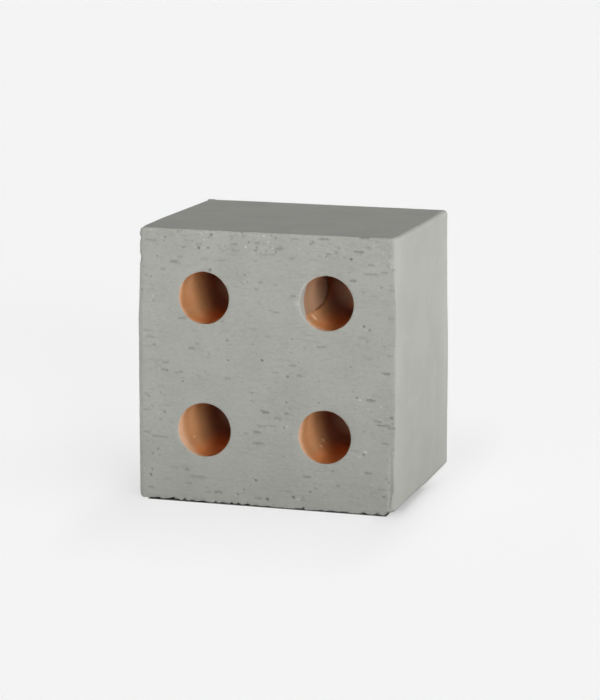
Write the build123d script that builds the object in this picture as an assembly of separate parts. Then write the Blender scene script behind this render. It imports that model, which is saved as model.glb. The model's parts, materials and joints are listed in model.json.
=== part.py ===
from build123d import *
import os

# A cored clay brick, nearly a cube, standing on one of its smooth sides.
# The clay was pushed through a die along Y, so its outline and its four cores are one section.
# The front and back were cut across by wire, so they are flat and their edges are almost sharp.
# The four long edges keep the wide rounding of the die.
# X runs across the front, Y runs from front to back along the cores, and Z is up.
# The origin is the middle of the face that the brick stands on.

# Sizes of the block, in millimetres
brick_width = 115.0
brick_depth = 98.0
brick_height = 119.5

# Softened edges
die_corner_radius = 2.5
wire_cut_edge_radius = 0.5
core_mouth_bevel = 0.6

# The cores, two across and two up
core_diameter = 24.0
core_pitch_across = 54.8
core_pitch_up = 58.0
cores_across = 2
cores_up = 2
core_group_rise = 1.75  # The middle of the cores lies this far above the middle of the block


def die_section():
    """The section that the die gives the clay, with its cores, seen from the front."""
    outline = RectangleRounded(brick_width, brick_height, die_corner_radius)
    core_places = GridLocations(core_pitch_across, core_pitch_up, cores_across, cores_up)
    cores = [Pos(0, core_group_rise) * place * Circle(core_diameter / 2) for place in core_places]
    return outline - cores


def extruded_clay():
    """The section pushed through the brick's depth, between the two wire cuts."""
    clay = extrude(Plane.XZ * die_section(), brick_depth)
    return Pos(0, brick_depth / 2, brick_height / 2) * clay


def cut_face_edges(clay, circles):
    """The edges that lie in the two cut faces: the core mouths, or the edges of the outline."""
    front_and_back = clay.edges().group_by(Axis.Y)[0] + clay.edges().group_by(Axis.Y)[-1]
    return [edge for edge in front_and_back if edge.is_closed == circles]


def brick():
    """The whole brick, with the edges that the wire and the handling have softened."""
    clay = extruded_clay()
    clay = fillet(cut_face_edges(clay, circles=False), wire_cut_edge_radius)
    return chamfer(cut_face_edges(clay, circles=True), core_mouth_bevel)


os.makedirs("parts", exist_ok=True)
export_step(brick(), "parts/brick.step")
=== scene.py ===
import json
import math
import random

import bmesh
import bpy
import numpy as np
from bpy.props import FloatProperty, FloatVectorProperty, IntProperty, PointerProperty
from mathutils import Matrix, Vector, noise


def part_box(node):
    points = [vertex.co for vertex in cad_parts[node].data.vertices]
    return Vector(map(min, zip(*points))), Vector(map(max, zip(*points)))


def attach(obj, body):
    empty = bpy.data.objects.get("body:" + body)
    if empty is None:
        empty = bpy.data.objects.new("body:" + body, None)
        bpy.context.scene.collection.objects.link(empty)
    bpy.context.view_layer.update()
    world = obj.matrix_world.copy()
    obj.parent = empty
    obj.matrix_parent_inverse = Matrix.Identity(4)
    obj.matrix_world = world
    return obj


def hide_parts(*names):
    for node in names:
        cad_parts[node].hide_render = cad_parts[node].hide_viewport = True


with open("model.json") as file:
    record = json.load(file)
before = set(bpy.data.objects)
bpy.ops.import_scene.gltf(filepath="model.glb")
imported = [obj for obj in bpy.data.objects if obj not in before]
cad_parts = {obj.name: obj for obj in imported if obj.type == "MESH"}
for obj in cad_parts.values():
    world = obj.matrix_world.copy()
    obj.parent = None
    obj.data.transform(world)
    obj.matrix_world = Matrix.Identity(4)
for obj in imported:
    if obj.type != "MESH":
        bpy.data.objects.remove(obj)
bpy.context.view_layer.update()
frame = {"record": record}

bl_info = {
    "name": "Cored clay brick",
    "version": (1, 0, 0),
    "blender": (4, 5, 0),
    "location": "View3D > Sidebar > Brick",
    "description": "Makes a slip-coated, wire-cut clay brick with round cores, and its plain studio",
    "category": "Add Mesh",
}

MM = 0.001
NODE = "brick"
BODY = "root"
SLOT = "grey_fired_clay"

LOW, HIGH = (Vector(corner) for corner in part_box(NODE))
SIZE = HIGH - LOW
WIDTH, DEPTH, HEIGHT = (side / MM for side in SIZE)
CORE_MOUNTS = [mount for mount in frame["record"]["mounts"] if mount["kind"] == "bore"]
CORE_NAMES = [mount["name"] for mount in CORE_MOUNTS]
CORE_RADIUS = CORE_MOUNTS[0]["dims"]["r_mm"]
CORE_CENTRES = np.array([(mount["pos_m"][0], mount["pos_m"][2]) for mount in CORE_MOUNTS]) / MM
CORE_OUT = CORE_CENTRES[:, 0].max()
CORE_MID = CORE_CENTRES[:, 1].mean()
CORE_UP = CORE_CENTRES[:, 1].max() - CORE_MID


# The sizes and colours that a user would change

class BlankSizes(bpy.types.PropertyGroup):
    """The plain block before anything marks it."""
    die_corner: FloatProperty(
        name="Die corner", description="Radius of the two long edges on the right", default=2.0 * MM,
        unit="LENGTH", precision=5)
    crisp_corner: FloatProperty(
        name="Crisp corner", description="Radius of the two long edges on the left",
        default=0.9 * MM, unit="LENGTH", precision=5)
    cell: FloatProperty(
        name="Cell", description="Size of the squares that the marks are pressed into",
        default=0.4 * MM, unit="LENGTH", precision=5)
    triangles: IntProperty(
        name="Triangles", description="Most triangles that the finished brick may have",
        default=190000)


class MarkSizes(bpy.types.PropertyGroup):
    """How deep the wire, the die and handling have marked the clay."""
    wave: FloatProperty(
        name="Waves", description="Depth of the long waves that the cutting wire left",
        default=0.16 * MM, unit="LENGTH", precision=5)
    drag: FloatProperty(
        name="Drag lines", description="Depth of the fine lines along the wire's path",
        default=0.07 * MM, unit="LENGTH", precision=5)
    tear: FloatProperty(
        name="Tears", description="Depth of the short tears in the cut faces",
        default=0.35 * MM, unit="LENGTH", precision=5)
    pit: FloatProperty(
        name="Pits", description="Depth of the pits where grains were pulled out",
        default=0.5 * MM, unit="LENGTH", precision=5)
    crumb: FloatProperty(
        name="Crumbs", description="Height of the crumbs that the wire left on the cut faces",
        default=0.3 * MM, unit="LENGTH", precision=5)
    crumble: FloatProperty(
        name="Crumbled edge", description="How far the edges of the cut faces have crumbled back",
        default=0.22 * MM, unit="LENGTH", precision=5)
    droop: FloatProperty(
        name="Drawn edge", description="How far the smooth faces are drawn in beside a cut face",
        default=0.06 * MM, unit="LENGTH", precision=5)
    core_wall: FloatProperty(
        name="Core walls", description="Unevenness of the core walls", default=0.12 * MM,
        unit="LENGTH", precision=5)
    film: FloatProperty(
        name="Slip run", description="Thickness of the dried slip that ran into one core",
        default=0.6 * MM, unit="LENGTH", precision=5)


class FinishColours(bpy.types.PropertyGroup):
    """The grey slip and the bare clay under it."""
    slip: FloatVectorProperty(
        name="Slip", description="Matt grey skin", subtype="COLOR", default=(0.382, 0.387, 0.354))
    slip_dark: FloatVectorProperty(
        name="Slip, dark", description="Where the skin is thin or dusty", subtype="COLOR",
        default=(0.315, 0.322, 0.292))
    slip_pale: FloatVectorProperty(
        name="Slip, pale", description="Grains and crumbs that stand proud", subtype="COLOR",
        default=(0.54, 0.545, 0.51))
    clay: FloatVectorProperty(
        name="Bare clay", description="Fired clay inside the cores", subtype="COLOR",
        default=(0.585, 0.305, 0.136))
    clay_dark: FloatVectorProperty(
        name="Bare clay, dark", description="Darker patches of the bare clay",
        subtype="COLOR", default=(0.475, 0.195, 0.07))
    clay_red: FloatVectorProperty(
        name="Bare clay, red", description="Redder clay low down in the cores",
        subtype="COLOR", default=(0.78, 0.3, 0.1))
    # painted shade: the clay is darker and more saturated deep in the cores, where little light reaches
    clay_deep_shade: FloatVectorProperty(
        name="Bare clay, deep", description="Cleaner, darker clay in the middle of the cores",
        subtype="COLOR", default=(0.44, 0.12, 0.025))
    # thin slip film, and also a painted highlight: its pale colour stands in for the lit rim of the core
    # mouths
    film: FloatVectorProperty(
        name="Slip film", description="Thin slip over bare clay, just inside the cores",
        subtype="COLOR", default=(0.88, 0.58, 0.38))
    run: FloatVectorProperty(
        name="Slip run", description="Thicker dried slip that ran down one core",
        subtype="COLOR", default=(0.42, 0.25, 0.15))
    film_reach: FloatProperty(
        name="Film reach", description="How far the slip film runs in, as a share of the listed depths",
        default=1.0, subtype="FACTOR")


class StudioLook(bpy.types.PropertyGroup):
    """Floor, lamps and the photograph's viewpoint."""
    lens: FloatProperty(
        name="Lens", description="Focal length in millimetres", default=122.8)
    eye: FloatVectorProperty(
        name="Eye", description="Where the camera stands", subtype="TRANSLATION", precision=5,
        default=(0.29793, -0.99951, 0.26365))
    eye_turn: FloatProperty(
        name="Turn", description="How far the camera is turned left of straight ahead",
        default=math.radians(16.541), unit="ROTATION")
    eye_dip: FloatProperty(
        name="Dip", description="How far the camera looks down", default=math.radians(11.052),
        unit="ROTATION")
    paper: FloatVectorProperty(
        name="Paper", description="The pale floor and background as the camera sees them",
        subtype="COLOR", default=(0.905, 0.905, 0.905))
    sky: FloatProperty(
        name="Sky", description="Strength of the even light from all round", default=0.093)
    side_lamp: FloatProperty(
        name="Side lamp", description="Strength of the soft lamp in front on the right",
        default=3.7)
    back_lamp: FloatProperty(
        name="Back lamp", description="Strength of the soft lamp behind on the right",
        default=2.1)
    left_lamp: FloatProperty(
        name="Left lamp", default=0.9,
        description="Strength of the low lamp on the left, which the paper doesn't catch")
    paper_lamp: FloatProperty(
        name="Paper lamp", description="Strength of the soft lamp above the right, for the paper alone",
        default=1.8)
    paper_glow: FloatProperty(
        name="Paper glow", description="Share of the paper's brightness that no shadow takes away",
        default=0.838)
    paper_shadow: FloatProperty(
        name="Paper shadow", description="How strongly the paper shows the brick's shadow",
        default=0.2)
    # painted shadow on the paper beside the right side, and how fast it fades
    right_painted_shadow: FloatProperty(
        name="Foot shadow", description="How much darker the paper is right beside the right side",
        default=0.45)
    right_reach: FloatProperty(
        name="Foot shadow, reach", description="How fast the shadow beside the right side fades",
        default=3.2 * MM, unit="LENGTH", precision=5)
    # where the painted dark under the brick ends; the painted shadow round the foot is measured from
    # there
    foot_side: FloatProperty(
        name="Foot, sides", description="How far in from its sides the brick touches the paper",
        default=4.0 * MM, unit="LENGTH", precision=5)
    foot_front: FloatProperty(
        name="Foot, front", description="How far behind its front the brick touches the paper",
        default=0.2 * MM, unit="LENGTH", precision=5)


# The marks that the photograph shows, in millimetres across, behind the front cut and up

FRONT_TEARS = (  # across, up, length, strength
    (-41, 105.4, 4.6, 0.9), (46.4, 104.1, 8.4, 0.6), (0, 41.9, 4.6, 1), (-31, 11.2, 10, 0.45),
    (53, 61.9, 4.6, 1), (1, 110.2, 8, 0.4), (-29.6, 113.4, 3.4, 0.5), (-46, 101.8, 3.2, 0.5),
    (24, 37, 4, 0.35), (40.5, 27.5, 4.2, 0.4), (-52, 72, 6, 0.4), (-50, 62, 7, 0.35),
    (-48, 28.1, 9, 0.5), (-38, 107.6, 3, 0.4), (12.5, 93.2, 3.6, 0.6), (36, 99, 5, 0.25),
    (15.2, 58.7, 3.4, 0.7), (53, 39.6, 5, 0.6), (12, 63.2, 3.6, 0.5), (11.9, 109, 3, 0.45),
    (-54, 39.7, 4, 0.5), (-53.5, 75, 5, 0.4), (-28.2, 11.4, 4, 0.3), (-35.1, 8, 2.5, 0.5),
)
FRONT_PITS = (  # across, up, width, strength
    (-35.9, 111.9, 1.2, 0.9), (-29.6, 111.8, 1.5, 1), (-24.2, 117.6, 1.8, 0.9), (-44.9, 115.6, 1.5, 0.6),
    (37.7, 110, 1.6, 0.9), (51.1, 98.4, 1.4, 0.7), (43.1, 95.9, 1.5, 0.6), (43.6, 81.5, 1.5, 0.9),
    (-1.5, 64.4, 1.5, 1), (8.5, 35.4, 1.5, 1), (-4.3, 11.6, 1.5, 1), (-9.7, 7, 1.4, 0.8),
    (-37.4, 53.1, 1.4, 0.6), (-53, 45.6, 1.5, 0.7), (-51.8, 13.1, 1.4, 0.6), (0.8, 3.5, 2, 1),
    (12.5, 5.3, 1.8, 1), (-12.7, 4.8, 1.3, 0.8), (20.1, 8.1, 1.4, 0.6), (22.3, 10, 1.2, 0.6),
    (31.9, 58.5, 1.2, 0.4), (-5.8, 49.8, 1.5, 0.5), (9.4, 46.8, 1.3, 0.6), (33.7, 44, 1.4, 0.4),
    (43.9, 26, 1.9, 0.7), (56.6, 105.8, 1.3, 1), (4.7, 111.5, 1.2, 0.7), (-49.2, 107.3, 1.2, 0.7),
    (-9.1, 101.1, 1.1, 0.7), (-8.2, 98.1, 1.1, 0.7), (11.7, 74.2, 1.6, 0.5), (-5.7, 71.1, 1.2, 0.5),
    (17.4, 71.1, 1.2, 0.4), (52.3, 73.4, 1.3, 0.6), (-4.2, 94.9, 1.8, 0.35), (40.3, 50.8, 1.5, 0.7),
    (-13.6, 19.3, 1.3, 0.4), (-27.3, 58.1, 1.2, 0.4), (-20, 75.5, 1.2, 0.3), (56.6, 74, 1, 0.9),
)
FRONT_CRUMBS = (  # across, up, width, strength
    (-0.6, 118.2, 1.8, 1), (1.5, 115.5, 1.4, 1), (3.5, 113, 1.3, 0.9), (-8.6, 112.9, 2.2, 0.8),
    (-28, 117.6, 1.6, 1), (-27, 115.4, 1.2, 0.9), (10.1, 36, 1.5, 0.9), (41.8, 49.8, 1.7, 1),
    (44.8, 27.3, 1.6, 1), (42.6, 24.8, 1.2, 0.8), (51, 47.5, 1.2, 1), (52.6, 113, 1.8, 0.9),
    (55, 110, 1.3, 1), (55.6, 107.6, 1.2, 1), (48, 116, 1.5, 0.8), (14.5, 4.4, 1.3, 0.8),
)
BITES = (  # ragged losses along the front's foot and the arrises: middle, reach each way, push
    ((0, 0, 0), (160, 6, 1.8), (0, 0.1, 0.28)), ((-32, 0, 0), (30, 6, 1.8), (0, 0.1, 0.12)),
    ((-47.7, 0, 0), (2.6, 6, 1.8), (0, 0.1, 0.35)), ((-43.1, 0, 0), (1.7, 6, 2.2), (0, 0.1, 1.1)),
    ((-37.2, 0, 0), (0.9, 6, 1.6), (0, 0.1, 0.5)), ((-22.9, 0, 0), (0.9, 6, 1.6), (0, 0.1, 0.45)),
    ((-13.8, 0, 0), (3.4, 6, 1.6), (0, 0.1, 0.3)), ((-7.5, 0, 0), (1.2, 6, 1.6), (0, 0.1, 0.4)),
    ((17, 0, 0), (0.9, 6, 1.6), (0, 0.1, 0.5)), ((43.8, 0, 0), (1.2, 6, 1.6), (0, 0.1, 0.3)),
    ((50, 0, 0), (2.0, 6, 1.8), (0, 0.1, 0.4)), ((54.1, 0, 0), (2.0, 6, 1.8), (-0.2, 0.1, 0.4)),
    ((-57.5, 0, 106), (1.6, 2, 2.2), (0.6, 0.4, 0)), ((-57.5, 0, 114.5), (1.2, 2, 1.6), (0.25, 0.4, 0)),
    ((57.5, 0, 105.8), (1.2, 1.3, 1.0), (-0.6, 0.6, 0)), ((57.5, 0, 112), (1.6, 1.6, 5), (-0.3, 0.3, 0)),
)
SLUMPS = (  # smooth losses, given in the same way
    ((-57.5, 0, 0), (2.5, 3, 3), (0.2, 0.1, 0.1)), ((-57.5, 0, 60), (1.8, 1.5, 90), (0, 0.5, 0)),
    ((-57.5, 0, 119.5), (14, 9, 40), (1.0, 0.4, 0)), ((-57.5, 0, 119.5), (3, 30, 2.5), (0.2, 0, -0.3)),
    ((57.5, 0, 119.5), (12, 8, 28), (-1.1, 0.15, 0)), ((57.5, 98, 119.5), (25, 30, 60), (-0.9, 0, 0)),
    ((57.5, 0, 0), (3.4, 3, 12), (-1.3, 0.3, 0)), ((57.5, 0, 22), (2.5, 2.2, 8), (-0.2, 0.1, 0)),
    ((55.6, 0, 13), (1.1, 0.9, 15), (0, 0.25, 0)), ((57.5, 6, 0), (4.5, 54, 4), (0, 0, 1.3)),
)
BUMPS = (  # middle, reach each way, push: crumbs on the front's top edge and a burr behind
    ((-27.5, 0, 119), (1.2, 1.2, 1), (0, -0.25, 0.1)), ((-22.5, 0, 119), (1.5, 1.2, 1), (0, -0.3, 0.1)),
    ((11, 0, 119), (1.6, 1.2, 1), (0, -0.3, 0.1)), ((-56.5, 97.5, 119.5), (2.5, 2, 2), (-0.3, 0, 0.7)),
)
CORNER_INSETS = (  # side across, back and up; how far that corner stands inside the plain block
    ((-1, -1, -1), (0, 0.1, 0.1)), ((1, -1, -1), (0.1, 0.2, 0)),
    ((-1, 1, -1), (0.1, 0.1, 0.1)), ((1, 1, -1), (0, 0, 0.2)),
    ((-1, -1, 1), (0.1, 0.4, 0)), ((1, -1, 1), (0.1, 0.2, 0.35)),
    ((-1, 1, 1), (0, 0.5, 0.15)), ((1, 1, 1), (0.1, 0.5, 0.9)),
)
CORE_SHIFTS = {  # mount: how far its core has wandered across and up, and how far its lip closes it
    "core_upper_left": (-0.02, -0.36, 0.85), "core_upper_right": (-0.21, 0.01, 0.3),
    "core_lower_left": (-0.13, -0.19, 0.25), "core_lower_right": (-0.98, 0.14, 0.52),
}
FILM_TURNS = (-190, -160, -130, -100, -60, 120)  # degrees round a core from its right side
FILM_REACH = {  # mount: how deep the slip film reaches at those turns
    "core_upper_left": (6.0, 4.6, 3.6, 6.0, 1, 1), "core_upper_right": (2.2, 2.4, 4.0, 5.5, 1, 1),
    "core_lower_left": (7.4, 8.2, 6.0, 2.8, 1, 1), "core_lower_right": (7.2, 5.6, 3.2, 2.2, 1, 1),
}
FILMED_CORE = CORE_NAMES.index("core_upper_right")  # the one that thick slip ran into
CRESCENT = (-181, 48, 5.2)  # thick slip at its mouth: middle and reach round it in degrees, depth
FILM_EDGE = (  # turn round the core in degrees, depth that the thick film reaches there
    (-240, 12), (-204, 39), (-194, 43.6), (-177, 45.7), (-165, 42.6), (-156, 37.2), (-150.5, 29),
    (-149, 20), (-148, 10), (-147, 4), (-140, 2),
)
CORE_LUMPS = (  # core, depth, turn in degrees, width, height
    ("core_lower_left", 14.8, -145, 1.6, 0.35), ("core_lower_right", 28.7, -137, 2.4, 0.4),
    ("core_lower_right", 21.7, -130, 2.0, 0.35), ("core_upper_right", 12, -137, 5.0, 0.35),
)


# How the marks are made, in millimetres where nothing else is said

UNEVENNESS = {  # noise: mean, swing, distance between its lumps across, back and up, octaves
    "waves": (0.5, 0.5, (38, 1, 30), 3), "drag_lines": (0.5, 0.5, (9, 1, 1.7), 2),
    "ragged_rims": (0, 1, (1.7, 1, 1), 2), "crumbling": (0.8, 0.6, (5, 5, 5), 3),
    "fine_crumbling": (0, 0.5, (1.3, 1.3, 1.3), 3), "chips": (0, 2, (2.5, 2.5, 2.5), 3),
    "droop": (0.7, 0.5, (9, 9, 9), 3), "slow_swells": (0.02, 0.04, (40, 60, 40), 2),
    "die_lines": (0.02, 0.02, (2.5, 70, 2.5), 2), "core_streaks": (0, 0.25, (1.6, 60, 1.6), 2),
    "core_swells": (0, 0.8, (9, 30, 9), 2), "core_grain": (0, 1, (1.2, 1.6, 1.2), 2),
    "core_mouths": (0.6, 0.6, (4, 4, 4), 3), "film_edge": (1, 0.25, (4, 1, 4), 3),
    "broken_foot": (1, 1.8, (2, 8, 3), 2),
}
FRACTAL = (1.0, 2.0)  # how fast a noise's octaves weaken, and how much finer each one is
SEED_STEPS = (17.3, 5.9, 31.1)  # how far a seed moves a noise on each axis
FRONT_SEED, BACK_SEED, SIDE_SEED, CORE_SEED = 3, 8, 14, 21

FRONT_EXTRA, BACK_EXTRA = 200, 240  # strewn marks of each kind, too faint to place one by one
STREWN_TEARS, STREWN_SPOTS = (1.5, 6.0), (0.7, 1.6)  # shortest and longest, narrowest and widest
STREWN_STRENGTH = (0.2, 0.7)  # the least, and the most that luck adds
CRUMB_SHARE = 0.5  # how high the strewn crumbs stand beside the listed ones
TOP_EVERY, TOP_BAND = 4, 9.0  # each fourth mark lies this near the top
SIDE_EVERY, SIDE_FIRST, SIDE_BAND = 6, 1, 12.0  # each sixth, from the second, this near a side
EDGE_CRUMBS = (0.2, 1.2), (0.8, 1.6), (0.1, 0.6)  # along the top edge: how far down, width, strength
EDGE_GAPS = (1.0, 3.5)  # from each of them to the next

CUT_REACH = 3.0  # how far in the marks of a cut face go
ARRIS_REACH, MOUTH_REACH, LIP_REACH = 0.5, 0.5, 3.5  # its crumbled edges and mouths, and their lips
TEAR_STEEP, TEAR_GENTLE = 0.3, 0.6  # how soon a tear ends above and below its line
TEAR_BEND, TEAR_FRAY, TEAR_END = 0.35, 0.5, 0.5  # how its line bends, and its ends fray and rise
TEAR_SPAN = 3.0  # no tear goes further up or down than this
PIT_SQUASH, PIT_FRAY, PIT_RIM, PIT_FLOOR = 1.3, 0.5, 1.1, 0.3  # its shape, in shares of half its width
MOUTH_CRUMBLE = 0.5  # how far a core's mouth crumbles beside the edges of its face
TORN_DARK, CRACK_DARK = 0.8, 0.8  # how dark the painted shade in tears and the crack is beside pits
HOLLOW_DEPTH = (0.8, 0.3)  # between these depths the painted shade of the hollows begins
FACE_DEPTH = (0.6, 0.3)  # and between these the unevenness of the smooth faces
RAGGED_LIMITS = (0.4, 1.6)  # the least and most that unevenness makes of a bite
SKIN = 0.1  # the wire took this much off the plain block all over
ROOM = 0.03  # the marks keep this far inside the CAD's box
CUT_CORNER = 0.7  # the cells cut an arris off this near it, in widths of a cell
SHIFT_FADE = (1.9, 1.1)  # a core's wandering fades in between these, in core radii

WALL_REACH, UV_WALL_REACH = 0.5, 0.6  # how far from the plain core its wall is looked for
WALL_LEAN = 0.7  # a wall's faces look along the core by less than this
SEEN_DEPTH = 40.0  # light reaches this far into a core
GRAIN_SHARE = 0.12  # how deep a wall's grain is beside its other unevenness
LUMP_TOP = 0.3  # a stuck lump is full this near its middle, in shares of half its width
LUMP_FILM = 0.7  # how much of the slip film's colour a stuck lump has
FILM_FALL = 3  # how suddenly the slip film ends
PALE_RING, RING_WIDTH, RING_SHARE = 16.0, 4.0, 0.1  # a faint band of film deeper in the cores
CRESCENT_FADE = 0.8  # how far inside and outside its line the thick slip fades
RUN_FRAY, RUN_FADE, RUN_START = 0.8, 0.4, (0.5, 4.0)  # how the run's edge frays, fades and begins
CRACK_STEPS = 240  # points along the crack to measure from
CRACK_WIDTH = ((5, 0.2), (20, 0.6), (45, 1.3))  # depth in the core, and how wide it is each way
CRACK_SQUEEZE = 0.28  # what a distance along the core counts for beside one round it
CRACK_FRAY, CRACK_FLOOR, CRACK_START = 0.4, 3, (1.0, 6.0)  # how it frays, deepens and begins

CORNER_STEPS, CORE_STEPS = 8, 128  # sides of a rounded corner and of a core
SHARP_ANGLE = 26  # degrees between faces above which an edge stays crisp
PATCH_GAP, PATCH_SCALE = 3.6, 0.00268  # distance between UV patches, and UV per millimetre
TINY = 1e-12


# How the finishes and the studio are made

HOLLOW_SHADE = (0.3, 0.28, 0.27, 1)  # painted shade: what a hollow's colour is multiplied by
SHINE = 0.15  # specular level of the matt brick
BUMP_STRENGTH, BUMP_DEPTH = 0.35, 0.12 * MM
UNSEEN_PULL = 3.0  # the paper gives light back sooner beyond the sides that the camera doesn't see
SHADE_STRIP = (3.0, 35.0)  # where the painted shadow is darkest: under the right side, in front of the middle
FRONT_SQUEEZE = (1, 0.25, 1)  # the painted shadow beside the foot reaches further from front to back
FLOOR_REACH = 8.0
LAMPS = {  # lamp: degrees turned right from the front, raised and soft, and if it leaves out the
    # paper or lights nothing else
    "side_lamp": (37, 6, 26, None), "back_lamp": (140, 26, 70, "EXCLUDE"),
    "left_lamp": (-90, 5, 8, "EXCLUDE"), "paper_lamp": (80, 62, 60, "INCLUDE"),
}


# Measuring and marking the clay

def read_points(mesh):
    """The mesh's vertices as rows of X, Y and Z."""
    flat = np.empty(len(mesh.vertices) * 3, np.float32)
    mesh.vertices.foreach_get("co", flat)
    return flat.reshape(-1, 3).astype(float)


def uneven(places, kind, seed):
    """Noise at each place, with the mean, swing and lumps of its kind."""
    mean, swing, pitch, octaves = UNEVENNESS[kind]
    spots = places / np.array(pitch, float) + seed * np.array(SEED_STEPS)
    return mean + swing * np.array([noise.fractal(spot, *FRACTAL, octaves) for spot in spots.tolist()])


def ramp(value, start, end):
    """Goes smoothly from 0 where the value is at its start to 1 where it is at its end."""
    share = np.clip((value - start) / (end - start), 0.0, 1.0)
    return share * share * (3.0 - 2.0 * share)


def near_cores(places):
    """Distance to the nearest core's axis, the turn round that core, and which core it is."""
    apart = places[:, None, (0, 2)] - CORE_CENTRES
    distances = np.hypot(apart[..., 0], apart[..., 1])
    nearest = distances.argmin(axis=1)
    row = np.arange(len(nearest))
    across, up = apart[row, nearest].T
    return distances[row, nearest], np.arctan2(up, across), nearest


def degrees_down(turn):
    """Turns round a core in degrees, from 0 at its right side to -360."""
    turned = np.degrees(turn)
    return np.where(turned > 0, turned - 360, turned)


def inside_outline(places, corner):
    """How far inside the die's rounded outline each place lies, and the way out from there."""
    apart = places[:, (0, 2)] - (0, HEIGHT / 2)
    out = np.abs(apart) - (WIDTH / 2, HEIGHT / 2) + corner
    beyond = np.maximum(out, 0.0)
    flat = (out == out.max(axis=1, keepdims=True)).astype(float)
    way = np.where(beyond.any(axis=1, keepdims=True), beyond, flat)
    way /= np.linalg.norm(way, axis=1, keepdims=True)
    gap = corner - np.linalg.norm(beyond, axis=1) - np.minimum(out.max(axis=1), 0.0)
    return gap, way * np.sign(apart)


def scatter(count, seed):
    """Tears, pits and crumbs too small to place from the photograph, strewn over a cut face."""
    chance = random.Random(seed)
    faintest, added = STREWN_STRENGTH

    def strewn(smallest, largest):
        rows = []
        for number in range(count):
            if number % TOP_EVERY == 0:
                up = HEIGHT - chance.uniform(0, TOP_BAND)
            else:
                up = chance.uniform(0, HEIGHT)
            size = smallest + (largest - smallest) * chance.random() ** 2
            across = chance.uniform(-WIDTH / 2, WIDTH / 2)
            if number % SIDE_EVERY == SIDE_FIRST:
                across = math.copysign(WIDTH / 2 - chance.uniform(0, SIDE_BAND), across)
            rows.append((across, up, size, faintest + added * chance.random() ** 2))
        return rows

    tears, pits, crumbs = strewn(*STREWN_TEARS), strewn(*STREWN_SPOTS), strewn(*STREWN_SPOTS)
    crumbs = [(*row[:3], CRUMB_SHARE * row[3]) for row in crumbs]
    across = -WIDTH / 2
    while across < WIDTH / 2:
        down, width, strength = [chance.uniform(*limits) for limits in EDGE_CRUMBS]
        crumbs.append((across, HEIGHT - down, width, strength))
        across += chance.uniform(*EDGE_GAPS)
    return tears, pits, crumbs


def tear_share(places, tears, ragged):
    """How deep each place lies in a tear: steep above, gentle below and ragged along."""
    deep = np.zeros(len(places))
    for across, up, length, strength in tears:
        near = np.flatnonzero(
            (np.abs(places[:, 0] - across) < length / 2) & (np.abs(places[:, 2] - up) < TEAR_SPAN))
        along = (places[near, 0] - across) / (length / 2)
        above = places[near, 2] - up + TEAR_BEND * ragged[near]
        width = np.where(above > 0, TEAR_STEEP, TEAR_GENTLE)
        ends = strength * ramp(1.0 - along ** 2 - TEAR_FRAY * np.abs(ragged[near]), 0.0, TEAR_END)
        deep[near] = np.maximum(deep[near], ends * np.exp(-(above / width) ** 2))
    return deep


def pit_share(places, pits, ragged):
    """How deep each place lies in a pit, or how high on a crumb, with a ragged rim."""
    deep = np.zeros(len(places))
    for across, up, width, strength in pits:
        near = np.flatnonzero(
            (np.abs(places[:, 0] - across) < width) & (np.abs(places[:, 2] - up) < width))
        away = np.hypot(places[near, 0] - across, (places[near, 2] - up) * PIT_SQUASH) / (width / 2)
        share = strength * ramp(away + PIT_FRAY * ragged[near], PIT_RIM, PIT_FLOOR)
        deep[near] = np.maximum(deep[near], share)
    return deep


def cut_relief(places, marks, seed, tears, pits, crumbs):
    """How deep the wire's marks have pressed each place of a cut face, and how much painted shade its
    hollows get (below zero on crumbs).
    """
    flat = places * (1, 0, 1)
    ragged = uneven(flat, "ragged_rims", seed + 1)
    torn = tear_share(places, tears, ragged)
    pitted = pit_share(places, pits, ragged)
    proud = pit_share(places, crumbs, ragged)
    lines = marks.wave * uneven(flat, "waves", seed) + marks.drag * uneven(flat, "drag_lines", seed + 2)
    deep = lines + marks.tear * torn + marks.pit * pitted
    return (deep - marks.crumb * proud) / MM + SKIN, np.maximum(torn * TORN_DARK, pitted) - proud


def press_cut_faces(places, moved, marks, gap, wall):
    """Presses the wire's marks into both cut faces and crumbles their edges and core mouths."""
    hollow = np.zeros(len(places))
    listed = FRONT_TEARS, FRONT_PITS, FRONT_CRUMBS
    front = [list(rows) + more for rows, more in zip(listed, scatter(FRONT_EXTRA, FRONT_SEED))]
    for side, seed, kinds in ((-1, FRONT_SEED, front), (1, BACK_SEED, scatter(BACK_EXTRA, BACK_SEED))):
        behind = DEPTH / 2 - side * places[:, 1]
        near = np.flatnonzero(behind < CUT_REACH)
        there = places[near]
        deep, hollowed_shade = cut_relief(there, marks, seed, *kinds)
        rough = uneven(there, "crumbling", seed + 3) + uneven(there, "fine_crumbling", seed + 4)
        chipped = ARRIS_REACH * (1 + np.maximum(uneven(there, "chips", seed + 5), 0))
        edge = np.clip(1 - gap[near] / chipped, 0, 1) ** 2
        mouth = np.clip(1 - np.abs(wall[near]) / MOUTH_REACH, 0, 1) ** 2
        deep += marks.crumble / MM * rough * np.maximum(edge, MOUTH_CRUMBLE * mouth)
        moved[near, 1] -= side * deep * ramp(behind[near], CUT_REACH, 0.0)
        # painted shade in the tears and pits, below zero on the crumbs
        hollow[near] = hollowed_shade * ramp(behind[near], *HOLLOW_DEPTH)
    return hollow


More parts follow.
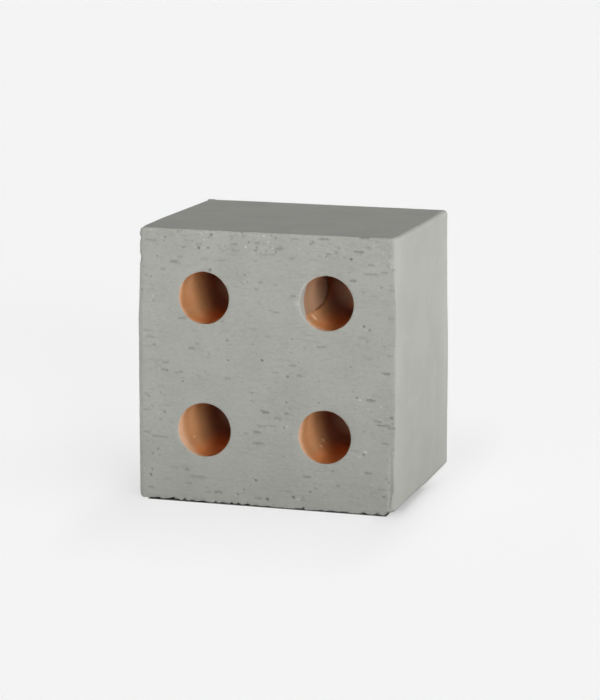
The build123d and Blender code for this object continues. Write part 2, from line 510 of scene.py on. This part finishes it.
def draw_in_sides(places, moved, marks, gap, way):
    """Draws the smooth faces in beside the cuts, and leaves the die's faint lines along them."""
    behind = DEPTH / 2 - np.abs(places[:, 1])
    near = np.flatnonzero((np.maximum(behind, gap) < CUT_REACH) | (gap < FACE_DEPTH[0]))
    there = places[near]
    edge = np.clip(1 - np.maximum(behind[near], gap[near]) / CUT_REACH, 0, 1) ** 2
    drawn = marks.droop / MM * uneven(there, "droop", SIDE_SEED) * edge
    slow, lines = uneven(there, "slow_swells", SIDE_SEED + 1), uneven(there, "die_lines", SIDE_SEED + 2)
    inward = drawn + (slow + lines) * ramp(gap[near], *FACE_DEPTH)
    moved[near, 0] -= inward * way[near, 0]
    moved[near, 2] -= inward * way[near, 1]


def slip_run(depth, behind, turned, grain):
    """How thick dried slip lies on the walls that it ran over, and how open the crack beside it is."""
    edges = np.interp(turned, *zip(*FILM_EDGE))
    thick = ramp(depth + RUN_FRAY * grain, edges + RUN_FADE, edges - RUN_FADE)
    turns = np.linspace(FILM_EDGE[0][0], FILM_EDGE[-1][0], CRACK_STEPS)
    line, spots = (
        np.column_stack((np.radians(round_core) * CORE_RADIUS, along_core * CRACK_SQUEEZE))
        for round_core, along_core in ((turns, np.interp(turns, *zip(*FILM_EDGE))), (turned, depth)))
    apart = np.min([np.hypot(*(spots - point).T) for point in line], axis=0) + CRACK_FRAY * grain
    width = np.interp(depth, *zip(*CRACK_WIDTH))
    crack = ramp(apart, width, width / CRACK_FLOOR)
    return thick * ramp(behind, *RUN_START), crack * ramp(behind, *CRACK_START)


def roughen_cores(places, moved, marks, wall, turn, core):
    """Leaves streaks, crumbled mouths, dried slip and stuck crumbs on the core walls."""
    near = np.flatnonzero(np.abs(wall) < WALL_REACH)
    there = places[near]
    behind = DEPTH / 2 - np.abs(there[:, 1])
    depth = there[:, 1] + DEPTH / 2
    turned = degrees_down(turn[near])
    streaks = uneven(there, "core_streaks", CORE_SEED)
    grain = uneven(there, "core_grain", CORE_SEED + 2)
    lit = ramp(behind, SEEN_DEPTH, SEEN_DEPTH / 2)
    swells = uneven(there, "core_swells", CORE_SEED + 1)
    outward = marks.core_wall / MM * (swells + lit * (streaks + GRAIN_SHARE * grain))
    mouth = np.clip(1 - behind / MOUTH_REACH, 0, 1) ** 2
    outward += MOUTH_CRUMBLE * marks.crumble / MM * mouth * uneven(there, "core_mouths", CORE_SEED + 3)
    closed = np.array([CORE_SHIFTS[name][2] for name in CORE_NAMES])[core[near]]
    outward -= closed * np.clip(1 - behind / LIP_REACH, 0, 1) ** 2
    filmed = core[near] == FILMED_CORE
    thick, crack, stuck = np.zeros((3, len(near)))
    thick[filmed], crack[filmed] = slip_run(
        depth[filmed], behind[filmed], turned[filmed], grain[filmed])
    outward += marks.film / MM * (crack - thick)
    for name, lump_depth, lump_turn, width, height in CORE_LUMPS:
        apart = np.hypot(depth - lump_depth, np.radians(turned - lump_turn) * CORE_RADIUS)
        lump = ramp(apart / (width / 2), 1, LUMP_TOP) * (core[near] == CORE_NAMES.index(name))
        outward -= height * lump
        stuck = np.maximum(stuck, lump)
    moved[near, 0] += outward * np.cos(turn[near])
    moved[near, 2] += outward * np.sin(turn[near])
    return near, thick, crack, stuck


def film_cover(places, colours, near, turn, core, stuck):
    """How much slip film covers each place of a core wall, and how much thick slip at one mouth."""
    behind = DEPTH / 2 - np.abs(places[near, 1])
    turned = degrees_down(turn[near])
    reach = np.empty(len(near))
    for index, name in enumerate(CORE_NAMES):
        mine = core[near] == index
        reach[mine] = np.interp(turned[mine], FILM_TURNS, FILM_REACH[name], period=360)
    reach *= colours.film_reach * uneven(places[near] * (1, 0, 1), "film_edge", CORE_SEED + 4)
    ring = RING_SHARE * np.exp(-((behind - PALE_RING) / RING_WIDTH) ** 2)
    cover, skin = np.zeros((2, len(places)))
    cover[near] = np.max((np.exp(-(behind / reach) ** FILM_FALL), ring, LUMP_FILM * stuck), axis=0)
    middle, spread, deepest = CRESCENT
    line = deepest * (1 - ((turned - middle) / spread) ** 2)
    skin[near] = ramp(behind - line, CRESCENT_FADE, -CRESCENT_FADE) * (core[near] == FILMED_CORE)
    return cover, skin


def push(places, moved, middle, reach, shove, rough):
    """Moves the places round a middle that is given behind the front cut: most at the middle."""
    centre = np.array(middle) - (0, DEPTH / 2, 0)
    away = (((places - centre) / reach) ** 2).sum(axis=1)
    near = np.flatnonzero(away < 1)
    moved[near] += np.outer((1 - away[near]) * rough[near], shove)


def sharpen(places, gap, way, cell):
    """Brings the places beside an arris out to it, where the cells have cut the corner off."""
    behind = DEPTH / 2 - np.abs(places[:, 1])
    near = np.flatnonzero((np.abs(gap) < CUT_CORNER * cell) & (behind < CUT_CORNER * cell))
    places[near, 1] += np.sign(places[near, 1]) * behind[near]
    places[near, 0] += way[near, 0] * np.maximum(gap[near], 0)
    places[near, 2] += way[near, 1] * np.maximum(gap[near], 0)
    gap[near] = np.minimum(gap[near], 0)


def settle(places, moved):
    """Lets the corners and cores stand where drying has left them."""
    share = (places + (WIDTH / 2, DEPTH / 2, 0)) / (WIDTH, DEPTH, HEIGHT)
    for side, inset in CORNER_INSETS:
        weight = np.where(np.array(side) > 0, share, 1 - share).prod(axis=1)
        moved -= np.outer(weight, np.array(side) * inset)
    for name, centre in zip(CORE_NAMES, CORE_CENTRES):
        away = np.hypot(places[:, 0] - centre[0], places[:, 2] - centre[1])
        weight = ramp(away, *(CORE_RADIUS * radii for radii in SHIFT_FADE))
        across, up = CORE_SHIFTS[name][:2]
        moved[:, 0] += across * weight
        moved[:, 2] += up * weight


def mark_block(mesh, sizes, marks, colours):
    """Marks the block all over, and keeps on it its plain places, the painted shade of its hollows, film
    and slip run.
    """
    places = read_points(mesh) / MM
    gap, way = inside_outline(places, sizes.die_corner / MM)
    sharpen(places, gap, way, sizes.cell / MM)
    moved = places.copy()
    distance, turn, core = near_cores(places)
    wall = distance - CORE_RADIUS
    hollow = press_cut_faces(places, moved, marks, gap, wall)
    draw_in_sides(places, moved, marks, gap, way)
    near, thick, crack, stuck = roughen_cores(places, moved, marks, wall, turn, core)
    cover, skin = film_cover(places, colours, near, turn, core, stuck)
    # painted shade along the crack as well
    hollow[near] = np.maximum(hollow[near], CRACK_DARK * crack)
    run = np.zeros(len(places))
    run[near] = thick
    broken = np.clip(uneven(places, "broken_foot", CORE_SEED + 5), *RAGGED_LIMITS)
    for rows, rough in ((BITES, broken), (SLUMPS + BUMPS, np.ones(len(places)))):
        for middle, reach, shove in rows:
            push(places, moved, middle, reach, shove, rough)
    settle(places, moved)
    moved = np.clip(moved, np.array(LOW) / MM + ROOM, np.array(HIGH) / MM - ROOM)
    mesh.vertices.foreach_set("co", (moved * MM).astype(np.float32).ravel())
    plain = mesh.attributes.new("plain", "FLOAT_VECTOR", "POINT")
    plain.data.foreach_set("vector", places.astype(np.float32).ravel())
    for name, values in (("hollow", hollow), ("film", cover), ("run", run), ("skin", skin)):
        layer = mesh.attributes.new(name, "FLOAT", "POINT")
        layer.data.foreach_set("value", values.astype(np.float32))
    mesh.update()


# Making the block

def build_blank(sizes):
    """The plain block with its cores, as the die and the wire would make it."""
    form = bmesh.new()
    upright = Matrix.Rotation(math.pi / 2, 4, "X")
    front = Matrix.Translation((0.0, LOW.y, SIZE.z / 2)) @ upright
    spread = Matrix.Diagonal((SIZE.x, SIZE.z, 1.0, 1.0))
    bmesh.ops.create_grid(form, x_segments=1, y_segments=1, size=0.5, matrix=front @ spread)
    crisp = [point for point in form.verts if point.co.x < 0]
    worn = [point for point in form.verts if point not in crisp]
    for points, radius in ((worn, sizes.die_corner), (crisp, sizes.crisp_corner)):
        bmesh.ops.bevel(
            form, geom=points, offset=radius, offset_type="OFFSET", segments=CORNER_STEPS,
            profile=0.5, affect="VERTICES", material=-1)
    bmesh.ops.delete(form, geom=form.faces[:], context="FACES_ONLY")
    for across, up in CORE_CENTRES * MM:
        place = Matrix.Translation((across, LOW.y, up)) @ upright
        bmesh.ops.create_circle(
            form, cap_ends=False, segments=CORE_STEPS, radius=CORE_RADIUS * MM, matrix=place)
    bmesh.ops.triangle_fill(
        form, use_beauty=True, use_dissolve=False, edges=form.edges[:], normal=(0, -1, 0))
    pushed = bmesh.ops.extrude_face_region(form, geom=form.faces[:])
    back = [part for part in pushed["geom"] if isinstance(part, bmesh.types.BMVert)]
    bmesh.ops.translate(form, verts=back, vec=(0.0, SIZE.y, 0.0))
    bmesh.ops.recalc_face_normals(form, faces=form.faces[:])
    mesh = bpy.data.meshes.new("blank")
    form.to_mesh(mesh)
    form.free()
    return mesh


def apply_modifiers(piece):
    """Gives the piece the mesh that its modifiers make, and takes them off."""
    finished = piece.evaluated_get(bpy.context.evaluated_depsgraph_get())
    mesh = bpy.data.meshes.new_from_object(finished)
    piece.modifiers.clear()
    piece.data = mesh
    return mesh


def lay_out_uv(mesh):
    """Lays the six faces and the four core walls side by side for a baked picture."""
    plain = np.empty(len(mesh.vertices) * 3, np.float32)
    mesh.attributes["plain"].data.foreach_get("vector", plain)
    corner = np.empty(len(mesh.loops), np.int32)
    mesh.loops.foreach_get("vertex_index", corner)
    corners = plain.reshape(-1, 3)[corner].reshape(-1, 3, 3).astype(float)
    facing = np.cross(corners[:, 1] - corners[:, 0], corners[:, 2] - corners[:, 0])
    facing /= np.linalg.norm(facing, axis=1, keepdims=True) + TINY
    distance, turn, core = near_cores(corners.mean(axis=1))
    on_wall = (np.abs(distance - CORE_RADIUS) < UV_WALL_REACH) & (np.abs(facing[:, 1]) < WALL_LEAN)
    main = np.abs(facing).argmax(axis=1)
    outward = np.take_along_axis(facing, main[:, None], 1)[:, 0] > 0
    centres = CORE_CENTRES[core]
    turns = np.arctan2(corners[..., 2] - centres[:, None, 1], corners[..., 0] - centres[:, None, 0])
    turns += 2 * math.pi * np.round((turn[:, None] - turns) / (2 * math.pi))
    across, back, up = np.moveaxis(corners, 2, 0)
    wide, deep = across + WIDTH / 2, back + DEPTH / 2
    laid = {0: (deep, up, DEPTH), 1: (wide, up, WIDTH), 2: (wide, deep, WIDTH)}
    patches = [
        ((main == axis) & (outward == outer) & ~on_wall, *laid[axis])
        for axis, outer in ((1, False), (1, True), (0, True), (0, False), (2, True), (2, False))]
    patches += [
        (on_wall & (core == index), (turns + math.pi) * CORE_RADIUS, deep, 2 * math.pi * CORE_RADIUS)
        for index in range(len(CORE_NAMES))]
    flat = np.empty(corners.shape[:2] + (2,))
    left = top = PATCH_GAP
    for which, first, second, width in patches:
        if (left + width) * PATCH_SCALE > 1:
            left, top = PATCH_GAP, top + HEIGHT + PATCH_GAP
        flat[which, :, 0] = (left + first[which]) * PATCH_SCALE
        flat[which, :, 1] = (top + second[which]) * PATCH_SCALE
        left += width + PATCH_GAP
    layer = mesh.uv_layers.new(name="OFBake")
    layer.data.foreach_set("uv", flat.astype(np.float32).ravel())


# Shader nodes

def add_node(tree, kind, inputs=None, **settings):
    """Adds a node, sets it, and fills or links its inputs."""
    node = tree.nodes.new("ShaderNode" + kind)
    for name, value in settings.items():
        setattr(node, name, value)
    for socket, value in (inputs or {}).items():
        if isinstance(value, bpy.types.NodeSocket):
            tree.links.new(value, node.inputs[socket])
        else:
            node.inputs[socket].default_value = value
    return node


def sum_of(tree, operation, *values, clamp=False):
    """One step of arithmetic on numbers or sockets."""
    return add_node(
        tree, "Math", dict(enumerate(values)), operation=operation, use_clamp=clamp).outputs[0]


def spread_between(tree, value, low, high, to_low=0.0, to_high=1.0):
    """Maps a value smoothly from one range onto another."""
    inputs = {
        "Value": value, "From Min": low, "From Max": high, "To Min": to_low, "To Max": to_high}
    return add_node(tree, "MapRange", inputs, interpolation_type="SMOOTHSTEP").outputs["Result"]


def mix_colours(tree, share, first, second, blend="MIX"):
    """Blends two colours."""
    node = add_node(tree, "Mix", {0: share, 6: first, 7: second}, data_type="RGBA", blend_type=blend)
    return node.outputs[2]


def noise_at(tree, place, spacing, detail=2.0, roughness=0.5):
    """Noise whose lumps are about this many millimetres apart along each axis."""
    stretch = add_node(
        tree, "Mapping", {"Vector": place, "Scale": [1 / step for step in spacing]})
    return add_node(tree, "TexNoise", {
        "Vector": stretch.outputs[0], "Scale": 1.0, "Detail": detail, "Roughness": roughness,
    }).outputs["Fac"]


def opaque(colour):
    """A colour with its alpha."""
    return (*colour, 1.0)


def new_group(name, ins, outs):
    """An empty node group with named sockets, and its two end nodes."""
    group = bpy.data.node_groups.new(name, "ShaderNodeTree")
    for socket, kind, value in ins:
        added = group.interface.new_socket(socket, in_out="INPUT", socket_type="NodeSocket" + kind)
        if value is not None:
            added.default_value = value
    for socket, kind in outs:
        group.interface.new_socket(socket, in_out="OUTPUT", socket_type="NodeSocket" + kind)
    return group, group.nodes.new("NodeGroupInput"), group.nodes.new("NodeGroupOutput")


def fired_mottle_group():
    """Patches and grains of a darker colour over a fired surface."""
    group, given, result = new_group(
        "Fired mottle",
        (("Place", "Vector", None), ("Colour", "Color", None), ("Dark", "Color", None),
         ("Patches", "Float", 0.5), ("Grains", "Float", 0.2), ("Grain size", "Float", 0.6)),
        (("Colour", "Color"),))
    place = given.outputs["Place"]
    broad = noise_at(group, place, (16, 16, 16), 3.0)
    broad = spread_between(group, broad, 0.38, 0.66)
    patches = sum_of(group, "MULTIPLY", broad, given.outputs["Patches"])
    finer = sum_of(group, "DIVIDE", 1.0, given.outputs["Grain size"])
    fine = add_node(group, "VectorMath", {0: place, "Scale": finer}, operation="SCALE")
    grain = add_node(
        group, "TexNoise", {"Vector": fine.outputs[0], "Scale": 1.0, "Detail": 3.0, "Roughness": 0.6})
    grain = spread_between(group, grain.outputs["Fac"], 0.35, 0.75)
    grains = sum_of(group, "MULTIPLY", grain, given.outputs["Grains"])
    share = sum_of(group, "ADD", patches, grains, clamp=True)
    colour = mix_colours(group, share, given.outputs["Colour"], given.outputs["Dark"])
    group.links.new(colour, result.inputs["Colour"])
    return group


def core_measure_group():
    """How far a place lies outside the nearest core's wall, behind the nearer cut, and how low."""
    group, given, result = new_group(
        "Core measure", (("Place", "Vector", None),),
        (("Outside core", "Float"), ("Behind cut", "Float"), ("Low in core", "Float")))
    place = add_node(group, "SeparateXYZ", {0: given.outputs["Place"]})
    across = sum_of(group, "SUBTRACT", sum_of(group, "ABSOLUTE", place.outputs["X"]), CORE_OUT)
    level = sum_of(group, "SUBTRACT", place.outputs["Z"], CORE_MID)
    up = sum_of(group, "SUBTRACT", sum_of(group, "ABSOLUTE", level), CORE_UP)
    away = sum_of(
        group, "SQRT", sum_of(
            group, "ADD", sum_of(group, "MULTIPLY", across, across), sum_of(group, "MULTIPLY", up, up)))
    outside = sum_of(group, "SUBTRACT", away, CORE_RADIUS)
    behind = sum_of(group, "SUBTRACT", DEPTH / 2, sum_of(group, "ABSOLUTE", place.outputs["Y"]))
    height = sum_of(group, "MULTIPLY", up, sum_of(group, "SIGN", level))
    group.links.new(outside, result.inputs["Outside core"])
    group.links.new(behind, result.inputs["Behind cut"])
    group.links.new(sum_of(group, "DIVIDE", height, -CORE_RADIUS), result.inputs["Low in core"])
    return group


# Materials

def attribute(tree, name):
    """A value that the marking left on the mesh."""
    return add_node(tree, "Attribute", attribute_name=name)


def slip_colour(tree, colours, plain, mottle, behind, on_cut):
    """The grey skin: wire lines on the cut faces, faint lines on the others and a painted highlight
    along the right face's front edge.
    """
    place = add_node(tree, "SeparateXYZ", {0: plain})
    slip = add_node(tree, "Group", {
        "Place": plain, "Colour": opaque(colours.slip), "Dark": opaque(colours.slip_dark),
        "Patches": 0.3, "Grains": 0.3, "Grain size": 1.1}, node_tree=mottle).outputs["Colour"]
    where = spread_between(tree, noise_at(tree, plain, (18, 40, 14), 2.0), 0.4, 0.62)
    dashes = spread_between(tree, noise_at(tree, plain, (5, 40, 0.8), 3.0), 0.48, 0.78)
    wire = sum_of(tree, "MULTIPLY", dashes, where)
    die = spread_between(tree, noise_at(tree, plain, (45, 1.5, 45), 2.0), 0.4, 0.8, 0.0, 0.06)
    lines = add_node(tree, "Mix", {0: on_cut, 2: die, 3: sum_of(tree, "MULTIPLY", wire, 0.9)})
    slip = mix_colours(tree, lines.outputs[0], slip, opaque(colours.slip_dark))
    grain = noise_at(tree, plain, (1.6, 1.6, 0.9), 3.0, 0.65)
    pale = spread_between(tree, grain, 0.52, 0.74, 0.0, 0.15)
    dark = spread_between(tree, grain, 0.44, 0.24, 0.0, 0.9)
    slip = mix_colours(tree, sum_of(tree, "MULTIPLY", pale, on_cut), slip, opaque(colours.slip_pale))
    slip = mix_colours(tree, sum_of(tree, "MULTIPLY", dark, on_cut), slip, opaque(colours.slip_dark))
    # painted highlight: the right face is paler towards its front edge, where the side lamp falls on it
    on_right_face = spread_between(tree, place.outputs["X"], WIDTH / 2 - 1.0, WIDTH / 2)
    beside = spread_between(tree, behind, 22.0, 0.0, 0.0, 0.15)
    edge = sum_of(tree, "MULTIPLY", on_right_face, beside)
    slip = mix_colours(tree, edge, slip, opaque(colours.slip_pale))
    return slip, wire


def core_colour(tree, colours, plain, mottle, low, behind):
    """Bare clay with streaks along the core, painted shade deeper in, and the slip that ran in over it.
    """
    clay = add_node(tree, "Group", {
        "Place": plain, "Colour": opaque(colours.clay), "Dark": opaque(colours.clay_dark),
        "Patches": 0.35, "Grains": 0.3, "Grain size": 0.9}, node_tree=mottle).outputs["Colour"]
    streaks = spread_between(tree, noise_at(tree, plain, (1.4, 50, 1.4), 2.0), 0.45, 0.75, 0.0, 0.2)
    clay = mix_colours(tree, streaks, clay, opaque(colours.clay_dark))
    redder = spread_between(tree, low, 0.7, 1.0)
    clay = mix_colours(tree, redder, clay, opaque(colours.clay_red))
    # painted shade: darker clay from 32 mm behind the cut, where little light reaches
    deep_shade = spread_between(tree, behind, 32.0, 52.0)
    clay = mix_colours(tree, deep_shade, clay, opaque(colours.clay_deep_shade))
    broken = sum_of(tree, "SUBTRACT", noise_at(tree, plain, (1.5, 2.5, 1.5), 3.0), 0.5)
    for name, colour in (("run", colours.run), ("film", colours.film)):
        share = attribute(tree, name).outputs["Fac"]
        ragged = sum_of(tree, "MULTIPLY", share, 0.7)
        cover = sum_of(tree, "MULTIPLY_ADD", broken, ragged, share, clamp=True)
        clay = mix_colours(tree, cover, clay, opaque(colour))
    return clay


def brick_material(colours):
    """Matt grey slip outside, and fired clay in the cores."""
    material = bpy.data.materials.new(SLOT)
    material.use_nodes = True
    tree = material.node_tree
    shader = tree.nodes["Principled BSDF"]
    plain = attribute(tree, "plain").outputs["Vector"]
    hollow = attribute(tree, "hollow").outputs["Fac"]
    measure = add_node(tree, "Group", {"Place": plain}, node_tree=core_measure_group())
    mottle = fired_mottle_group()
    behind = measure.outputs["Behind cut"]
    on_cut = spread_between(tree, behind, 0.7, 0.3)
    slip, wire = slip_colour(tree, colours, plain, mottle, behind, on_cut)
    clay = core_colour(tree, colours, plain, mottle, measure.outputs["Low in core"], behind)
    ragged = sum_of(tree, "MULTIPLY", noise_at(tree, plain, (1.5, 1.5, 1.5)), 0.3)
    rim = sum_of(tree, "SUBTRACT", measure.outputs["Outside core"], ragged)
    inside, started = spread_between(tree, rim, 0.25, 0.05), spread_between(tree, behind, 0.05, 0.35)
    bare = sum_of(tree, "MULTIPLY", inside, started)
    skin = attribute(tree, "skin").outputs["Fac"]
    bare = sum_of(tree, "SUBTRACT", bare, skin, clamp=True)
    proud = sum_of(tree, "MULTIPLY_ADD", skin, 0.4, sum_of(tree, "MULTIPLY", hollow, -0.9), clamp=True)
    slip = mix_colours(tree, proud, slip, opaque(colours.slip_pale))
    surface = mix_colours(tree, bare, slip, clay)
    # painted shade darkens the pits, tears and crack
    sunk_shade = sum_of(tree, "MULTIPLY", hollow, 0.7, clamp=True)
    shade = mix_colours(tree, sunk_shade, surface, HOLLOW_SHADE, "MULTIPLY")
    tree.links.new(shade, shader.inputs["Base Color"])
    grain = noise_at(tree, plain, (0.5, 0.5, 0.5), 3.0, 0.6)
    rough = spread_between(tree, grain, 0.3, 0.7, 0.8, 0.92)
    tree.links.new(rough, shader.inputs["Roughness"])
    shader.inputs["Specular IOR Level"].default_value = SHINE
    lines = sum_of(tree, "MULTIPLY", wire, on_cut)
    height = sum_of(tree, "SUBTRACT", grain, lines)
    bump = add_node(
        tree, "Bump", {"Strength": BUMP_STRENGTH, "Distance": BUMP_DEPTH, "Height": height})
    tree.links.new(bump.outputs["Normal"], shader.inputs["Normal"])
    return material


def camera_sees(tree):
    """1 for the rays that show the background, 0 for those that only carry light."""
    rays = add_node(tree, "LightPath").outputs
    mirrored = sum_of(tree, "MAXIMUM", rays["Is Glossy Ray"], rays["Is Transmission Ray"])
    return sum_of(tree, "MAXIMUM", rays["Is Camera Ray"], mirrored)


def outside_box(tree, place, middle, half):
    """How far a place lies outside a box on each axis."""
    apart = add_node(tree, "VectorMath", {0: place, 1: middle}, operation="SUBTRACT").outputs[0]
    apart = add_node(tree, "VectorMath", {0: apart}, operation="ABSOLUTE").outputs[0]
    beyond = add_node(tree, "VectorMath", {0: apart, 1: half}, operation="SUBTRACT").outputs[0]
    return add_node(tree, "VectorMath", {0: beyond}, operation="MAXIMUM").outputs[0]


def length_of(tree, way, squeeze=(1, 1, 1)):
    """The length of a vector, after squeezing it on each axis."""
    squeezed = add_node(tree, "VectorMath", {0: way, 1: squeeze}, operation="MULTIPLY").outputs[0]
    return add_node(tree, "VectorMath", {0: squeezed}, operation="LENGTH").outputs["Value"]


def paper_material(look):
    """Pale paper that keeps a faint shadow, with painted shadow under, round and beside the brick's
    foot, and that gives little light back beside the brick.
    """
    material = bpy.data.materials.new("studio_paper")
    material.use_nodes = True
    tree = material.node_tree
    tree.nodes.remove(tree.nodes["Principled BSDF"])
    place = add_node(tree, "TexCoord").outputs["Object"]
    half = (SIZE.x / 2 - look.foot_side, SIZE.y / 2 - look.foot_front, 0.0)
    beyond = outside_box(tree, place, (0, 0, 0), half)
    away = length_of(tree, beyond)
    behind = add_node(tree, "SeparateXYZ", {0: add_node(
        tree, "VectorMath", {0: place, 1: (-1, 1, 0)}, operation="MULTIPLY").outputs[0]})
    unseen_sides = sum_of(tree, "MAXIMUM", behind.outputs["X"], behind.outputs["Y"])
    further = sum_of(tree, "MAXIMUM", sum_of(tree, "SUBTRACT", unseen_sides, SIZE.x / 2), 0.0)
    given_back = spread_between(
        tree, sum_of(tree, "MULTIPLY_ADD", further, UNSEEN_PULL, away), 0.03, 0.11, 0.02, 0.7)
    unseen = add_node(tree, "BsdfDiffuse", {"Color": given_back})
    # painted shadow: the paper the camera sees goes dark under the brick, a little darker round its
    # foot, and darker still beside its right side
    under = spread_between(tree, away, 0.0, 0.0005)
    beside = spread_between(tree, length_of(tree, beyond, FRONT_SQUEEZE), 0.0, 0.035, 0.91, 1.0)
    wide, long = (length / 2 * MM for length in SHADE_STRIP)
    strip = outside_box(tree, place, (SIZE.x / 2 - wide, -long, 0), (wide, long, 0))
    fall = sum_of(tree, "DIVIDE", length_of(tree, strip, FRONT_SQUEEZE), -look.right_reach)
    right = sum_of(tree, "MULTIPLY_ADD", sum_of(tree, "EXPONENT", fall), -look.right_painted_shadow, 1.0)
    lit = sum_of(tree, "MULTIPLY", sum_of(tree, "MULTIPLY", under, beside), right)
    lit = sum_of(tree, "MULTIPLY", lit, look.paper_glow)
    glow = add_node(tree, "Emission", {"Color": opaque(look.paper), "Strength": lit})
    shaded = add_node(tree, "BsdfDiffuse", {"Color": opaque([look.paper_shadow] * 3)})
    seen = add_node(tree, "AddShader", {0: glow.outputs[0], 1: shaded.outputs[0]})
    both = add_node(tree, "MixShader", {0: camera_sees(tree), 1: unseen.outputs[0], 2: seen.outputs[0]})
    tree.links.new(both.outputs[0], tree.nodes["Material Output"].inputs["Surface"])
    return material


# The pieces

class BRICK_OT_body(bpy.types.Operator):
    """Make the fired brick, marked all over, in place of the plain one"""
    bl_idname = "brick.body"
    bl_label = "Fired brick"

    def execute(self, context):
        scene = context.scene
        piece = bpy.data.objects.new("fired_brick", build_blank(scene.blank_sizes))
        scene.collection.objects.link(piece)
        cells = piece.modifiers.new("Cells", "REMESH")
        cells.mode = "VOXEL"
        cells.voxel_size = scene.blank_sizes.cell
        mesh = apply_modifiers(piece)
        mark_block(mesh, scene.blank_sizes, scene.mark_sizes, scene.finish_colours)
        thin = piece.modifiers.new("Thin", "DECIMATE")
        thin.ratio = scene.blank_sizes.triangles / (2 * len(mesh.polygons))
        thin.use_collapse_triangulate = True
        mesh = apply_modifiers(piece)
        mesh.shade_smooth()
        mesh.set_sharp_from_angle(angle=math.radians(SHARP_ANGLE))
        lay_out_uv(mesh)
        mesh.materials.append(brick_material(scene.finish_colours))
        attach(piece, BODY)
        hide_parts(NODE)
        return {"FINISHED"}


def add_lamp(scene, name, turn, rise, softness, strength):
    """A soft lamp far away, turned from the front to the right and raised from the floor."""
    data = bpy.data.lights.new(name, "SUN")
    data.angle = math.radians(softness)
    data.energy = strength
    lamp = bpy.data.objects.new(name, data)
    lamp.rotation_euler = (math.radians(90 - rise), 0.0, math.radians(turn))
    scene.collection.objects.link(lamp)
    return lamp


class BRICK_OT_studio(bpy.types.Operator):
    """Make the pale floor, the lamps and the photograph's viewpoint"""
    bl_idname = "brick.studio"
    bl_label = "Studio"

    def execute(self, context):
        scene = context.scene
        look = scene.studio_look
        form = bmesh.new()
        bmesh.ops.create_grid(form, x_segments=1, y_segments=1, size=FLOOR_REACH)
        mesh = bpy.data.meshes.new("floor")
        form.to_mesh(mesh)
        form.free()
        mesh.materials.append(paper_material(look))
        floor = bpy.data.objects.new("floor", mesh)
        scene.collection.objects.link(floor)
        for name, (turn, rise, softness, paper_link) in LAMPS.items():
            lamp = add_lamp(scene, name, turn, rise, softness, getattr(look, name))
            if paper_link:
                lit = bpy.data.collections.new(name + "_paper")
                lit.objects.link(floor)
                lamp.light_linking.receiver_collection = lit
                lit.collection_objects[0].light_linking.link_state = paper_link
        world = bpy.data.worlds.new("studio")
        world.use_nodes = True
        scene.world = world
        tree = world.node_tree
        sky = tree.nodes["Background"]
        sky.inputs["Color"].default_value = (1, 1, 1, 1)
        sky.inputs["Strength"].default_value = look.sky
        paper = add_node(tree, "Background", {"Color": opaque(look.paper), "Strength": 1.0})
        both = add_node(
            tree, "MixShader", {0: camera_sees(tree), 1: sky.outputs[0], 2: paper.outputs[0]})
        tree.links.new(both.outputs[0], tree.nodes["World Output"].inputs["Surface"])
        eye = bpy.data.objects.new("eye", bpy.data.cameras.new("eye"))
        eye.data.lens = look.lens
        eye.location = look.eye
        eye.rotation_euler = (math.pi / 2 - look.eye_dip, 0.0, look.eye_turn)
        scene.collection.objects.link(eye)
        scene.camera = eye
        scene.view_settings.view_transform = "Standard"
        return {"FINISHED"}


class BRICK_PT_panel(bpy.types.Panel):
    """Lists the pieces and what can be changed about them"""
    bl_idname = "BRICK_PT_panel"
    bl_label = "Cored clay brick"
    bl_space_type = "VIEW_3D"
    bl_region_type = "UI"
    bl_category = "Brick"

    def draw(self, context):
        for name in GROUPS:
            box = self.layout.box()
            values = getattr(context.scene, name)
            for value in values.bl_rna.properties:
                if value.identifier not in ("name", "rna_type"):
                    box.prop(values, value.identifier)
        for operator in OPERATORS:
            self.layout.operator(operator.bl_idname)


GROUPS = {
    "blank_sizes": BlankSizes, "mark_sizes": MarkSizes, "finish_colours": FinishColours,
    "studio_look": StudioLook}
OPERATORS = (BRICK_OT_body, BRICK_OT_studio)


def register():
    """Gives Blender the settings, the operators and the panel."""
    for name, group in GROUPS.items():
        bpy.utils.register_class(group)
        setattr(bpy.types.Scene, name, PointerProperty(type=group))
    for shown in (*OPERATORS, BRICK_PT_panel):
        bpy.utils.register_class(shown)


def unregister():
    """Takes them away again."""
    for shown in (BRICK_PT_panel, *reversed(OPERATORS)):
        bpy.utils.unregister_class(shown)
    for name, group in reversed(GROUPS.items()):
        delattr(bpy.types.Scene, name)
        bpy.utils.unregister_class(group)


def main():
    """Makes the brick and its studio."""
    register()
    bpy.ops.brick.body()
    bpy.ops.brick.studio()
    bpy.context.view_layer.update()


if __name__ == "__main__":
    main()
